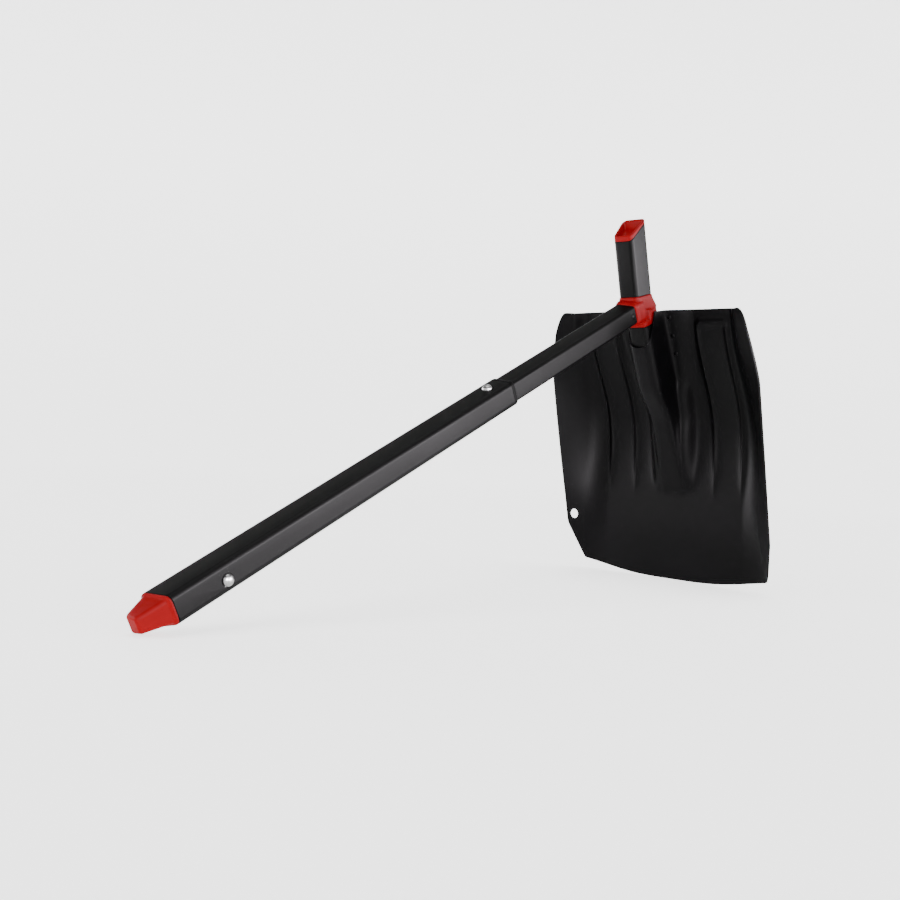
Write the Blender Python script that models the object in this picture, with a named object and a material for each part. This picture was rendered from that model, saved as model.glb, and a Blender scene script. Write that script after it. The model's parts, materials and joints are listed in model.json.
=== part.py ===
"""Two-piece avalanche shovel, assembled as a hoe.

Lengths are in millimetres and become metres when a mesh is made. Three working frames carry the
pieces. The arm frame has its origin where the upper arm crosses the shaft: z runs up the arm, which
leans back a little, y points to the blade's back and x across the blade. The blade is drawn in it too.
The shaft frame has the same origin: z runs down the shaft to its free end, x points to the shaft's
upper face and y to its wide side. The socket frame is square to the shaft and lies a little behind
it: the lower arm and the blade's socket run along its z. An empty named stance holds all three and
leans them so that the blade's edge and the shaft's nose stand on z = 0.
"""
import math

import bmesh
import bpy
from mathutils import Matrix, Vector

MM = 0.001
GAP = 0.3                 # clearance between touching pieces

# Tube profile: a rounded trapezoid, narrow on one side so that it fits its socket one way round.
NARROW = 11.0             # half width of the narrow side
WIDE = 14.1               # half width of the wide side
DEPTH = 13.1              # half depth between the two sides
CORNER = 5.0              # corner radius
WALL = 1.5                # tube wall
SLIDE_CLEARANCE = 0.3     # between the telescoping tubes

# Handle
ARM_TILT = math.radians(10.0)   # the upper arm and the blade lean back from square to the shaft
SOCKET_BACK = 6.9         # the lower arm's axis lies this far behind the arms' crossing
ARM_TOP_FRONT = 76.0      # height of the upper arm's slanted mouth, front and back
ARM_TOP_BACK = 90.8
HUB_TOP = 14.0            # the hub's collar, where the upper arm starts
HUB_FOOT = -18.0          # the hub's lower end, where the lower arm starts
ARM_FOOT = -60.0          # lower end of the lower arm's tube
HUB_FLARE = (-3.6, -2.4)  # the hub flares out between these heights
HUB_FRONT = 17.0          # where the shaft starts
SHAFT_STEP = 224.0        # upper end of the outer tube, shaft extended
SHAFT_END = 609.5         # slanted lower end of the outer tube, narrow side and wide side
SHAFT_END_WIDE = 616.0
OVERLAP = 85.0            # inner tube inside the outer one, shaft extended
NOSE_END = 633.5          # end of the tapered plug that closes the outer tube
HUB_RIVET_AT = 23.0       # rivets that hold the inner tube on the hub
CAP_LIP_FRONT = 5.5       # the arm cap's lip over its tube's mouth
CAP_LIP_BACK = 2.5
COLLAR = 4.0              # end ring of the outer tube

# Snap buttons
BUTTON_R = 4.7
BUTTON_HOLE = 5.1
BUTTON_PROUD = 3.4        # dome height over the outer wall
EXTENSION_AT = 246.5      # along the shaft
SHAFT_BUTTON_AT = 564.6
SHAFT_BUTTON_DOWN = 2.0   # below the middle of the shaft's narrow side
HOE_BUTTON_AT = -45.0     # along the lower arm
HOE_BUTTON_BACK = 3.0     # towards the blade's back

# Blade, in the arm frame
SHEET = 2.0               # thickness
BLADE_TOP = -3.0
TOP_SLANT = 0.12          # how much lower the top edge runs for each unit of depth
BLADE_FOOT = -290.5       # at the corners
BLADE_BOW = 13.0          # how much lower the middle of the cutting edge is
EDGE_FLAT = 26.0          # half of the straight middle of the cutting edge
BLADE_HALF = 126.0        # half width over the side flanges
CORNER_CUT_IN = 21.0      # rounding of the top corners, inwards and down
CORNER_CUT_DOWN = 72.0
CHAMFER_TOP = -245.0      # the flanges' lower corners are cut off from here
PAN_RISE = 12.0           # how far the pan curves forward before its folds
EDGE_DEPTH_TOP = 12.0     # depth of the flanges' free edges, at the top and at the chamfer
EDGE_DEPTH_FOOT = 7.5
FOLD_FOOT = 115.0         # half width of the cutting edge
SOCKET_FIT = 0.5          # play of the arm in the socket
SOCKET_END = -82.0        # the socket's straight part ends here
SINK_END = -127.0         # the bulge's front has stepped back here
BULGE_SINK = 11.5         # by this much
BULGE_TIP = -204.0        # the bulge's front and side walls have sunk into the pan here
LAND_TURN = -95.0         # the land beside the socket narrows quickly down to here
SHOULDER = 16.5           # depth of the land beside the socket, in the socket frame
RIB_INNER = 49.5          # middles of the two ribs on each side
RIB_OUTER = 82.0
RIB_TOP = -18.0
RIB_FOOT = -212.0
RIB_HALF = 3.5
RIB_HEIGHT = 3.5
ANCHOR_HOLE_HALF = 4.0    # oval hole in the left flange: half width, and height over width
ANCHOR_HOLE_STRETCH = 1.45
ANCHOR_HOLE_AT = -236.5

# Notch, back plate and rivets, in the socket frame
NOTCH_R = 17.0            # U notch in the socket's front and side walls
NOTCH_FOOT = -39.5
NOTCH_BACK = 8.0          # where the notch runs out in the side walls
PLATE = 1.5               # thickness of the plate that closes the socket
PLATE_HALF_TOP = 25.5
PLATE_HALF_FOOT = 23.4
PLATE_TOP = -12.0
PLATE_FOOT = -66.0
PLATE_LAND = 10.2         # half width of its raised land, and where the land's slopes end
PLATE_SLOPE = 13.6
RIVET_X = 22.0
RIVET_HEIGHTS = (-18.0, -38.0, -58.0)


def clear_scene():
    for obj in list(bpy.data.objects):
        bpy.data.objects.remove(obj, do_unlink=True)


def make_material(name, color, roughness, metallic):
    material = bpy.data.materials.new(name)
    material.use_nodes = True
    shader = material.node_tree.nodes["Principled BSDF"]
    shader.inputs["Base Color"].default_value = (*color, 1.0)
    shader.inputs["Roughness"].default_value = roughness
    shader.inputs["Metallic"].default_value = metallic
    return material


def lerp(low, high, t):
    return low + (high - low) * t


def clamp(value):
    return max(0.0, min(1.0, value))


def ease(value):
    value = clamp(value)
    return value * value * (3.0 - 2.0 * value)


# ---------------------------------------------------------------- meshes

def add_object(name, points, faces, material, parent, smooth_angle=35.0):
    """One mesh object from points in millimetres, faces pointing out."""
    mesh = bpy.data.meshes.new(name)
    mesh.from_pydata([Vector(p) * MM for p in points], [], faces)
    work = bmesh.new()
    work.from_mesh(mesh)
    bmesh.ops.recalc_face_normals(work, faces=work.faces)
    work.to_mesh(mesh)
    work.free()
    mesh.shade_smooth()
    mesh.set_sharp_from_angle(angle=math.radians(smooth_angle))
    if material:
        mesh.materials.append(material)
    obj = bpy.data.objects.new(name, mesh)
    bpy.context.collection.objects.link(obj)
    obj.parent = parent
    return obj


def loft(name, rings, material, parent):
    """A solid through rings with the same number of points, closed at both ends."""
    count = len(rings[0])
    points = [p for ring in rings for p in ring]
    faces = [tuple(range(count)), tuple(range(len(points) - count, len(points)))]
    for k in range(len(rings) - 1):
        for i in range(count):
            j = (i + 1) % count
            faces.append((k * count + i, k * count + j, (k + 1) * count + j, (k + 1) * count + i))
    return add_object(name, points, faces, material, parent)


def pipe(name, outer_rings, inner_rings, material, parent):
    """A tube open at both ends, from matching outer and inner rings."""
    rings = list(outer_rings) + list(reversed(inner_rings))
    count = len(rings[0])
    points = [p for ring in rings for p in ring]
    faces = []
    for k in range(len(rings)):
        n = (k + 1) % len(rings)
        for i in range(count):
            j = (i + 1) % count
            faces.append((k * count + i, k * count + j, n * count + j, n * count + i))
    return add_object(name, points, faces, material, parent)


def turned(name, profile, material, parent, steps=20):
    """A solid of revolution about z, from (radius, height) points; it starts and ends on the axis."""
    ring_points = profile[1:-1]
    points = [(0.0, 0.0, profile[0][1])]
    for radius, height in ring_points:
        for i in range(steps):
            angle = 2.0 * math.pi * i / steps
            points.append((radius * math.cos(angle), radius * math.sin(angle), height))
    points.append((0.0, 0.0, profile[-1][1]))
    last = len(points) - 1
    faces = []
    for i in range(steps):
        j = (i + 1) % steps
        faces.append((0, 1 + j, 1 + i))
        faces.append((last, last - steps + i, last - steps + j))
        for k in range(len(ring_points) - 1):
            a = 1 + k * steps
            faces.append((a + i, a + j, a + steps + j, a + steps + i))
    return add_object(name, points, faces, material, parent)


def place(obj, location, along=(0.0, 0.0, 1.0)):
    """Set an object down in its parent's frame with its own z along a direction."""
    turn = Vector(along).to_track_quat("Z", "Y")
    obj.matrix_local = Matrix.Translation(Vector(location) * MM) @ turn.to_matrix().to_4x4()
    return obj


def combine(obj, other, operation):
    """Join or cut with another solid, which is then hidden."""
    step = obj.modifiers.new(operation.lower() + "_" + other.name, "BOOLEAN")
    step.operation = operation
    step.object = other
    step.solver = "EXACT"
    other.hide_render = True
    other.display_type = "WIRE"


def block(name, low, high, parent):
    """A plain box that cuts other pieces."""
    (x0, y0, z0), (x1, y1, z1) = low, high
    rings = [[(x0, y0, z), (x1, y0, z), (x1, y1, z), (x0, y1, z)] for z in (z0, z1)]
    return loft(name, rings, None, parent)


def rod(name, radius, length, parent, location, along):
    """A round bar centred on a point, for cutting holes."""
    half = length / 2.0
    profile = [(0.0, -half), (radius, -half), (radius, half), (0.0, half)]
    return place(turned(name, profile, None, parent), location, along)


# ---------------------------------------------------------------- tube profile

def tube_outline(shrink=0.0, steps=5, narrow=NARROW, wide=WIDE, depth=DEPTH, corner=CORNER):
    """The rounded trapezoid in x and y, narrow side at -y, drawn in by a wall or a clearance."""
    narrow -= shrink
    wide -= shrink
    depth -= shrink
    corner = max(corner - shrink, 1.0)
    corners = [Vector(c) for c in ((-narrow, -depth), (narrow, -depth), (wide, depth), (-wide, depth))]
    outline = []
    for i, here in enumerate(corners):
        before = (corners[i - 1] - here).normalized()
        after = (corners[(i + 1) % 4] - here).normalized()
        half = before.angle(after) / 2.0
        centre = here + (before + after).normalized() * corner / math.sin(half)
        start = here + before * corner / math.tan(half) - centre
        end = here + after * corner / math.tan(half) - centre
        first = math.atan2(start.y, start.x)
        sweep = (math.atan2(end.y, end.x) - first + math.pi) % (2.0 * math.pi) - math.pi
        for k in range(steps):
            angle = first + sweep * k / (steps - 1)
            outline.append((centre.x + corner * math.cos(angle), centre.y + corner * math.sin(angle)))
    return outline


def side_wall_half(y):
    """Half width of the profile's slanted side at a given y."""
    return lerp(NARROW, WIDE, (y + DEPTH) / (2.0 * DEPTH))


def side_normal(side):
    """Outward normal of the profile's slanted side, side being 1 or -1."""
    normal = Vector((2.0 * DEPTH, NARROW - WIDE, 0.0)).normalized()
    return Vector((side * normal.x, normal.y, 0.0))


def at_height(outline, z):
    return [(x, y, z) for x, y in outline]


def slanted(outline, narrow_z, wide_z, shift=0.0):
    """The outline on a plane that slants from the narrow side to the wide side."""
    slope = (wide_z - narrow_z) / (2.0 * DEPTH)
    middle = (wide_z + narrow_z) / 2.0
    return [(x, y, middle + slope * y + shift) for x, y in outline]


def arm_mouth(shrink, drop=0.0):
    """The top of the cap in the upper arm, lower at the front."""
    return slanted(tube_outline(shrink), ARM_TOP_FRONT, ARM_TOP_BACK, -drop)


def arm_seat(shrink, rise=0.0):
    """The upper arm's mouth, under the cap's lip."""
    return slanted(tube_outline(shrink), ARM_TOP_FRONT - CAP_LIP_FRONT, ARM_TOP_BACK - CAP_LIP_BACK, rise)


def socket_to_arm(ring):
    """Points of the socket frame in the arm frame."""
    turned_ring = []
    for x, y, z in ring:
        behind = y + SOCKET_BACK
        turned_ring.append((x, behind * math.cos(ARM_TILT) - z * math.sin(ARM_TILT),
                            behind * math.sin(ARM_TILT) + z * math.cos(ARM_TILT)))
    return turned_ring


# ---------------------------------------------------------------- blade surface

def pan_floor(a):
    """Depth of the scooped pan at height a: a chord with a hollow in its upper half."""
    reach = 120.0 if a > -135.0 else 138.0
    hollow = math.cos(math.pi / 2.0 * min(1.0, abs(a + 135.0) / reach)) ** 2
    return 36.0 + 0.05 * a + 24.5 * hollow


def edge_half_width(a):
    """Half width to the free edge of the side flange."""
    if a < CHAMFER_TOP:
        return lerp(BLADE_HALF, FOLD_FOOT, (CHAMFER_TOP - a) / (CHAMFER_TOP - BLADE_FOOT))
    down = clamp((BLADE_TOP - a) / CORNER_CUT_DOWN)
    return BLADE_HALF - CORNER_CUT_IN * (1.0 - math.sqrt(down))


def edge_depth(a):
    """Depth of the side flange's free edge."""
    if a < CHAMFER_TOP:
        t = (CHAMFER_TOP - a) / (CHAMFER_TOP - BLADE_FOOT)
        return lerp(EDGE_DEPTH_FOOT, pan_floor(BLADE_FOOT) - 3.5, t)
    corner = clamp(1.0 + a / 25.0)
    return lerp(EDGE_DEPTH_TOP, EDGE_DEPTH_FOOT, a / CHAMFER_TOP) + 5.0 * corner


def fold_half_width(a):
    """Half width to the fold between the pan and the side flange."""
    return lerp(96.0, FOLD_FOOT - 1.0, (BLADE_TOP - a) / (BLADE_TOP - BLADE_FOOT))


def rib_rise(x, a):
    """Height of the two narrow ribs on each side and of the lip that joins them at the top."""
    x = abs(x)
    fade = ease((RIB_TOP + 4.0 - a) / 8.0) * ease((a - RIB_FOOT) / 50.0)
    best = 0.0
    for centre in (RIB_INNER, RIB_OUTER):
        best = max(best, fade * ease(1.0 - abs(x - centre) / RIB_HALF))
    if RIB_INNER < x < RIB_OUTER:
        best = max(best, ease(1.0 - abs(a - RIB_TOP) / 6.0))
    return RIB_HEIGHT * best


def socket_plane(y, a):
    """Depth, at height a, of the plane that lies at y in the socket frame."""
    return (y + SOCKET_BACK - a * math.sin(ARM_TILT)) / math.cos(ARM_TILT)


def bulge_crest(a):
    """Depth of the bulge's front: along the socket, then sinking into the pan."""
    crest = socket_plane(-DEPTH - SOCKET_FIT - SHEET, a)
    crest += BULGE_SINK * ease((SOCKET_END - a) / (SOCKET_END - SINK_END))
    return min(crest, pan_floor(a))


def land_edges(a):
    """Half width of the land beside the socket, and of the foot of its slope on the pan."""
    upper = clamp(a / LAND_TURN) ** 1.6
    lower = clamp((LAND_TURN - a) / 130.0)
    land = lerp(28.0, 22.0, upper) - 6.0 * lower
    return land, lerp(45.4, 33.0, upper) - 6.0 * lower


def socket_profile(a):
    """Half profile of the socket's bulge and the land beside it, from the middle outwards."""
    floor = pan_floor(a)
    crest = bulge_crest(a)
    taper = clamp((SOCKET_END - a) / (SOCKET_END - BULGE_TIP))
    front = lerp(NARROW + SOCKET_FIT + SHEET, 12.5, taper)
    base = lerp(WIDE + SOCKET_FIT + SHEET + 0.4, 14.5, taper)
    flank = (SHOULDER + DEPTH + SOCKET_FIT + SHEET) / math.cos(ARM_TILT) * (1.0 - taper) ** 1.8
    shoulder = min(crest + max(flank, 0.6), max(floor, crest))
    corner = lerp(CORNER + SOCKET_FIT + SHEET, 3.0, taper)
    corner_deep = min(corner, (shoulder - crest) * 0.45)
    land, pan_start = land_edges(a)
    points = [(0.0, crest), (0.5 * (front - corner), crest)]
    side = lerp(front, base, 0.15)
    for k in range(4):
        angle = math.pi / 2.0 * k / 3.0
        points.append((side - corner + corner * math.sin(angle),
                       crest + corner_deep * (1.0 - math.cos(angle))))
    foot = shoulder - min(3.0, 0.3 * (shoulder - crest))
    points.append((lerp(front, base, 0.55), lerp(crest + corner_deep, foot, 0.5)))
    points.append((base, foot))
    points.append((lerp(base, land, 0.2), shoulder))
    points.append((lerp(base, land, 0.86), shoulder))
    points.append((lerp(land, pan_start, 0.3), lerp(shoulder, floor, 0.2)))
    points.append((lerp(land, pan_start, 0.7), lerp(shoulder, floor, 0.8)))
    points.append((pan_start, floor))
    return points


def blade_profile(a):
    """Half profile of the whole blade, (x, depth) from the middle to the flange's free edge."""
    floor = pan_floor(a)
    edge = edge_half_width(a)
    fold = min(fold_half_width(a), edge - 4.0)
    rise = lerp(PAN_RISE, 2.5, ease((-200.0 - a) / 90.0))
    points = socket_profile(a)
    ribs = [rib + side * RIB_HALF for rib in (RIB_INNER, RIB_OUTER) for side in (-1, 0, 1)]
    ribs.insert(3, (RIB_INNER + RIB_OUTER) / 2.0)
    for x in ribs:
        points.append((x, floor - rib_rise(x, a)))
    points.append((lerp(RIB_OUTER + RIB_HALF, fold, 0.4), floor - 0.2 * rise))
    points.append((lerp(RIB_OUTER + RIB_HALF, fold, 0.75), floor - 0.6 * rise))
    points.append((fold, floor - rise - 0.5))
    depth = edge_depth(a)
    points.append((lerp(fold, edge, 0.12), lerp(floor - rise - 0.5, depth, 0.15)))
    points.append((edge, depth))
    return points


def blade_rows():
    """Heights of the rows, closer together where the surface turns quickly."""
    tight = [BLADE_TOP, -7.0, -13.0, -18.0, -23.0, -30.0, -41.0, -54.0, -68.0, -81.0]
    wide = [-96.0 - 19.0 * k for k in range(8)]
    low = [CHAMFER_TOP, -260.0, -275.0, BLADE_FOOT]
    return tight + wide + low


def bow(x):
    """How far the cutting edge drops below its corners at x, with a straight middle."""
    out = clamp((abs(x) - EDGE_FLAT) / (FOLD_FOOT - EDGE_FLAT))
    return BLADE_BOW * (1.0 - out ** 1.8)


def blade_point(x, depth, a):
    """The point of a row at x, the row's ends moved by the top edge's slant and the cutting edge's bow."""
    down = clamp((a - BLADE_TOP) / (BLADE_FOOT - BLADE_TOP))
    slant = TOP_SLANT * max(0.0, depth) * (1.0 - down) ** 3
    if abs(x) < land_edges(a)[0]:
        depth += slant * math.tan(ARM_TILT)     # keeps the socket's walls in their planes
    return Vector((x, depth, a - slant - bow(x) * down ** 3))


def blade_grid():
    grid = []
    for a in blade_rows():
        half = blade_profile(a)
        row = [(-x, depth) for x, depth in reversed(half[1:])] + half
        grid.append([blade_point(x, depth, a) for x, depth in row])
    return grid


def grid_normals(grid):
    rows = len(grid)
    columns = len(grid[0])
    normals = []
    for i in range(rows):
        line = []
        for j in range(columns):
            across = grid[i][min(j + 1, columns - 1)] - grid[i][max(j - 1, 0)]
            down = grid[min(i + 1, rows - 1)][j] - grid[max(i - 1, 0)][j]
            line.append(across.cross(down).normalized())
        normals.append(line)
    return normals


def sheet(name, grid, thickness, material, parent):
    """A closed sheet of even thickness behind a grid of points."""
    rows = len(grid)
    columns = len(grid[0])
    normals = grid_normals(grid)
    front = [p for row in grid for p in row]
    back = [p + n * thickness for row, line in zip(grid, normals) for p, n in zip(row, line)]
    shift = rows * columns
    faces = []
    for i in range(rows - 1):
        for j in range(columns - 1):
            a = i * columns + j
            quad = (a, a + 1, a + columns + 1, a + columns)
            faces.append(quad)
            faces.append(tuple(v + shift for v in reversed(quad)))
    rim = list(range(columns))
    rim += [i * columns + columns - 1 for i in range(1, rows)]
    rim += [(rows - 1) * columns + j for j in range(columns - 2, -1, -1)]
    rim += [i * columns for i in range(rows - 2, 0, -1)]
    for k, a in enumerate(rim):
        b = rim[(k + 1) % len(rim)]
        faces.append((a, b, b + shift, a + shift))
    return add_object(name, front + back, faces, material, parent)


# ---------------------------------------------------------------- blade group

def flange_point(a, across):
    """A point on the flange and the flange's normal; across is 0 at the fold and 1 at the edge."""
    profile = blade_profile(a)
    (x0, b0), (x1, b1) = profile[-2], profile[-1]
    point = (lerp(x0, x1, across), lerp(b0, b1, across), a)
    return point, Vector((b0 - b1, x1 - x0, 0.0)).normalized()


def notch_cutter(socket):
    """U shape in x and z, swept through the front wall and rising into the side walls."""
    rings = []
    for y, foot in ((-40.0, NOTCH_FOOT), (-DEPTH, NOTCH_FOOT), (NOTCH_BACK, BLADE_TOP - 5.0)):
        ring = [(NOTCH_R, y, 30.0)]
        for k in range(16):
            angle = -math.pi * k / 15.0
            ring.append((NOTCH_R * math.cos(angle), y, foot + NOTCH_R + NOTCH_R * math.sin(angle)))
        ring.append((-NOTCH_R, y, 30.0))
        rings.append(ring)
    return loft("notch_cutter", rings, None, socket)


def make_blade(arm, socket, black):
    blade = sheet("blade", blade_grid(), SHEET, black, arm)
    combine(blade, notch_cutter(socket), "DIFFERENCE")
    point, normal = flange_point(ANCHOR_HOLE_AT, 0.5)
    place_at = (-point[0], point[1], point[2] - bow(point[0]) * 0.5)
    cutter = rod("anchor_cutter", ANCHOR_HOLE_HALF, 20.0, arm, place_at, (-normal.x, normal.y, 0.0))
    cutter.scale = (1.0, ANCHOR_HOLE_STRETCH, 1.0)
    combine(blade, cutter, "DIFFERENCE")
    hole_at = (-side_wall_half(HOE_BUTTON_BACK) - SHEET, HOE_BUTTON_BACK, HOE_BUTTON_AT)
    cutter = rod("hoe_cutter", BUTTON_HOLE, 10.0, socket, hole_at, side_normal(-1))
    combine(blade, cutter, "DIFFERENCE")
    for name, x, z in rivet_places():
        cutter = rod(name + "_cutter", 2.3, 12.0, socket, (x, SHOULDER + 1.0, z), (0, 1, 0))
        combine(blade, cutter, "DIFFERENCE")


def rivet_places():
    """Name, x and height of each rivet of the socket's back plate."""
    for row, z in enumerate(RIVET_HEIGHTS):
        for side, word in ((-1, "left"), (1, "right")):
            yield f"socket_rivet_{word}_{row + 1}", side * RIVET_X, z


def make_socket_back(socket, black):
    """Pressed plate that closes the socket behind the arm: a raised land between two flanges."""
    land = DEPTH + SOCKET_FIT
    flange = SHOULDER + SHEET + GAP
    rings = []
    for z, half in ((PLATE_FOOT, PLATE_HALF_FOOT), (PLATE_TOP, PLATE_HALF_TOP)):
        left = [(-half, flange), (-PLATE_SLOPE, flange), (-PLATE_LAND, land)]
        front = left + [(-x, y) for x, y in reversed(left)]
        back = [(x, y + PLATE) for x, y in reversed(front)]
        rings.append(at_height(front + back, z))
    plate = loft("socket_back", rings, black, socket)
    for name, x, z in rivet_places():
        cutter = rod(name + "_plate_cutter", 2.3, 8.0, socket, (x, flange + PLATE, z), (0, 1, 0))
        combine(plate, cutter, "DIFFERENCE")


def make_rivet(name, material, parent, grip, location, along):
    """A flat-headed rivet whose shank crosses a grip of sheets; z points out of the head."""
    shank = 2.0
    profile = [(0.0, 1.0), (2.1, 0.9), (2.5, GAP), (shank, GAP)]
    profile += [(shank, -grip - GAP), (2.7, -grip - GAP), (2.4, -grip - 1.3), (0.0, -grip - 1.5)]
    place(turned(name, profile, material, parent, steps=12), location, along)


# ---------------------------------------------------------------- handle group

def make_hub(arm, shaft, socket, red):
    """Moulded hub: a column from the socket up to the upper arm, with a collar on the shaft."""
    rings = [
        socket_to_arm(at_height(tube_outline(0.0), HUB_FOOT)),
        socket_to_arm(at_height(tube_outline(0.0), HUB_FLARE[0])),
        socket_to_arm(at_height(tube_outline(-0.8), HUB_FLARE[1])),
        at_height(tube_outline(-1.2), HUB_TOP - 3.0),
        at_height(tube_outline(-0.8), HUB_TOP),
    ]
    hub = loft("grip_hub", rings, red, arm)
    spigot = WALL + GAP
    upper = loft("hub_upper_spigot", [at_height(tube_outline(spigot), z) for z in (5.0, HUB_TOP + 20.0)],
                 None, arm)
    lower = loft("hub_lower_spigot", [at_height(tube_outline(spigot), z) for z in (-24.0, -8.0)],
                 None, socket)
    inner = WALL + SLIDE_CLEARANCE
    throat = loft("hub_collar", [
        at_height(tube_outline(inner - 3.0), 4.0),
        at_height(tube_outline(inner - 2.2), HUB_FRONT - 2.0),
        at_height(tube_outline(inner - 0.6), HUB_FRONT + 1.0),
    ], None, shaft)
    shaft_spigot = loft("hub_shaft_spigot",
                        [at_height(tube_outline(inner + WALL + GAP), z) for z in (0.0, HUB_FRONT + 30.0)],
                        None, shaft)
    for piece in (upper, lower, throat, shaft_spigot):
        combine(hub, piece, "UNION")
    rivet_hole = rod("hub_rivet_hole", 1.9, 60.0, shaft, (0.0, 0.0, HUB_RIVET_AT), (0, 1, 0))
    combine(hub, rivet_hole, "DIFFERENCE")
    for side, word in ((1, "right"), (-1, "left")):
        low = (min(side * 11.0, side * 30.0), -2.0, -12.0)
        high = (max(side * 11.0, side * 30.0), 7.0, -0.5)
        combine(hub, block("hub_pocket_" + word, low, high, arm), "DIFFERENCE")


def make_upper_arm(arm, black, red):
    start = HUB_TOP + GAP
    outer = [at_height(tube_outline(0.0), start), arm_seat(0.0)]
    inner = [at_height(tube_outline(WALL), start), arm_seat(WALL)]
    pipe("upper_arm_tube", outer, inner, black, arm)
    spigot = WALL + GAP
    cap = loft("upper_arm_cap", [
        at_height(tube_outline(spigot), 54.0),
        arm_seat(spigot, GAP),
        arm_seat(0.0, GAP),
        arm_mouth(0.0, 0.8),
        arm_mouth(0.9, 0.0),
    ], red, arm)
    recess = loft("cap_recess", [arm_mouth(6.0, 8.0), arm_mouth(2.0, -1.0)], None, arm)
    combine(cap, recess, "DIFFERENCE")


def make_hub_rivets(shaft, black):
    """Blind rivets through the inner tube into the hub's spigot, one on each side."""
    profile = [(0.0, 1.1), (1.2, 1.0), (2.2, 0.7), (2.8, GAP), (1.6, GAP), (1.6, -7.0), (0.0, -7.4)]
    surface = DEPTH - WALL - SLIDE_CLEARANCE
    for side, word in ((-1, "right"), (1, "left")):
        rivet = turned("hub_rivet_" + word, profile, black, shaft, steps=14)
        place(rivet, (0.0, side * surface, HUB_RIVET_AT), (0, side, 0))


def shaft_mouth(shrink, rise=0.0):
    """The outer tube's slanted end, longer on the wide side."""
    return slanted(tube_outline(shrink), SHAFT_END, SHAFT_END_WIDE, rise)


def taper(mouth, tip, steps):
    """Rings that run from a mouth to a tip, with a rounded end."""
    rings = []
    for t in steps:
        rings.append([tuple(lerp(a, b, t) for a, b in zip(p, q)) for p, q in zip(mouth, tip)])
    return rings


def nose_rings():
    """The end plug's nose: a rim on the tube's mouth, then a taper that keeps to the wide side."""
    tip = [(x - 1.6, y + 5.8, NOSE_END - 1.5)
           for x, y in tube_outline(0.0, narrow=6.4, wide=8.2, depth=6.6, corner=3.0)]
    point = [(x - 1.6, y + 5.8, NOSE_END)
             for x, y in tube_outline(1.6, narrow=6.4, wide=8.2, depth=6.6, corner=3.0)]
    rim = [shaft_mouth(0.0, GAP), shaft_mouth(0.0, 1.6), shaft_mouth(1.3, 2.2)]
    return rim + taper(shaft_mouth(2.0, 2.4), tip, (0.0, 0.35, 0.7, 1.0)) + [point]


def make_lower_arm(socket, black, red):
    start = HUB_FOOT - GAP
    outer = [at_height(tube_outline(0.0), z) for z in (ARM_FOOT, start)]
    inner = [at_height(tube_outline(WALL), z) for z in (ARM_FOOT, start)]
    tube = pipe("lower_arm_tube", outer, inner, black, socket)
    hole_at = (-side_wall_half(HOE_BUTTON_BACK), HOE_BUTTON_BACK, HOE_BUTTON_AT)
    cutter = rod("arm_hole_cutter", BUTTON_HOLE, 10.0, socket, hole_at, side_normal(-1))
    combine(tube, cutter, "DIFFERENCE")
    mouth = at_height(tube_outline(0.2), ARM_FOOT - GAP)
    tip = at_height(tube_outline(3.6), ARM_FOOT - 11.0)
    rings = taper(mouth, tip, (0.0, 0.2, 0.6, 1.0))
    inside = [at_height(tube_outline(WALL + GAP), ARM_FOOT + 5.0),
              at_height(tube_outline(WALL + GAP), ARM_FOOT - GAP - 0.2)]
    plug = loft("lower_arm_plug", rings, red, socket)
    combine(plug, loft("lower_plug_spigot", inside, None, socket), "UNION")


# ---------------------------------------------------------------- shaft group

def make_inner_tube(shaft, black, plastic):
    shrink = WALL + SLIDE_CLEARANCE
    start = HUB_FRONT + 1.0 + GAP
    end = SHAFT_STEP + OVERLAP
    outer = [at_height(tube_outline(shrink), z) for z in (start, end)]
    inner = [at_height(tube_outline(shrink + WALL), z) for z in (start, end)]
    tube = pipe("inner_shaft_tube", outer, inner, black, shaft)
    hole_at = (side_wall_half(0.0), 0.0, EXTENSION_AT)
    cutter = rod("inner_hole_cutter", BUTTON_HOLE, 12.0, shaft, hole_at, side_normal(1))
    combine(tube, cutter, "DIFFERENCE")
    cutter = rod("hub_rivet_cutter", 1.9, 60.0, shaft, (0.0, 0.0, HUB_RIVET_AT), (0, 1, 0))
    combine(tube, cutter, "DIFFERENCE")
    loft("guide_bushing", [
        at_height(tube_outline(shrink + WALL + GAP), end - 12.0),
        at_height(tube_outline(shrink + WALL + GAP), end + 1.0),
        at_height(tube_outline(shrink), end + 1.0 + GAP),
        at_height(tube_outline(shrink), end + 4.0),
        at_height(tube_outline(shrink + 1.5), end + 5.5),
    ], plastic, shaft)


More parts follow.
